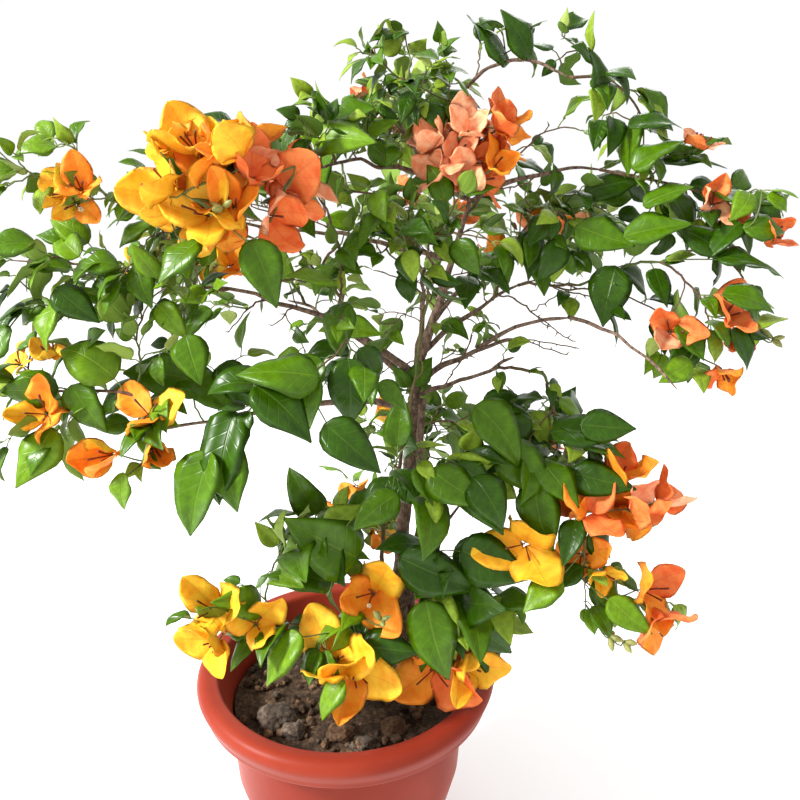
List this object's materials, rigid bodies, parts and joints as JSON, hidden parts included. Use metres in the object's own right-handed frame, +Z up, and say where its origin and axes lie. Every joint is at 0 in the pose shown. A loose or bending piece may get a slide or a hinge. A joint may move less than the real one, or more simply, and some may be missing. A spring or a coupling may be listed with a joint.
{
  "type": "bougainvillea bush in a pot",
  "caption": "Orange-flowered bougainvillea bush with an open, arching crown on a thin twisted trunk, standing in a round terracotta-coloured plastic pot.",
  "frame": {"origin": "centre of the pot's flat underside", "axes": "+Z up along the pot's axis, -Y towards the broad, flowering side"},
  "size_m": [0.6374, 0.4022, 0.8395],
  "materials": {
    "pot_plastic": "terracotta-coloured moulded plastic, satin, with a soft gloss on the rim",
    "soil": "dark brown lumpy potting soil with grey and tan clods",
    "bark": "thin grey-brown bark, finely ridged, with pruning scars",
    "green_wood": "young olive-tan stem, smooth",
    "leaf": "glossy mid-green ovate leaves, paler beneath",
    "bract": "papery orange and yellow bracts with dark tube flowers"
  },
  "bodies": {
    "root": {"pot": "pot_plastic", "soil": "soil", "trunk": "bark", "stem_twin": "bark", "stem_front": "green_wood", "bough_main": "bark", "bough_left_low": "bark", "bough_left": "bark", "bough_left_rise": "bark", "bough_cross": "bark", "bough_top_left": "bark", "bough_top": "bark", "bough_right_up": "bark", "arch_rise": "bark", "arch_fall": "bark", "bough_pruned": "bark", "bough_stub": "bark", "bough_inner": "bark", "droop_rise": "bark", "droop_fall": "bark", "bough_back": "bark", "bough_back_left": "bark", "bough_back_right": "bark", "bough_low_right": "bark", "bough_low_left": "bark", "bough_low_back": "bark", "mass_top": "leaf", "mass_top_left": "leaf", "mass_top_bloom": "bract", "mass_arch_top": "leaf", "mass_arch_end": "leaf", "mass_centre_up": "leaf", "mass_bloom_left": "bract", "mass_tip_left": "leaf", "mass_left_mid": "leaf", "mass_left_outer": "leaf", "mass_left_bloom_low": "bract", "mass_left_inner": "leaf", "mass_left_hang": "leaf", "mass_front": "leaf", "mass_right_mid": "leaf", "mass_right_up": "leaf", "mass_right_far": "bract", "mass_right_low": "leaf", "mass_centre_low": "leaf", "mass_right_lower": "leaf", "mass_bloom_right": "bract", "mass_hang_right": "bract", "mass_low_front": "leaf", "mass_low_left": "leaf", "mass_low_bloom_left": "bract", "mass_low_bloom_front": "bract", "mass_back_top": "leaf", "mass_back": "leaf", "mass_back_left_up": "leaf", "mass_back_left": "leaf", "mass_back_right": "leaf", "mass_back_low": "leaf", "mass_back_low_left": "leaf", "mass_back_low_right": "leaf"}
  },
  "joints": []
}
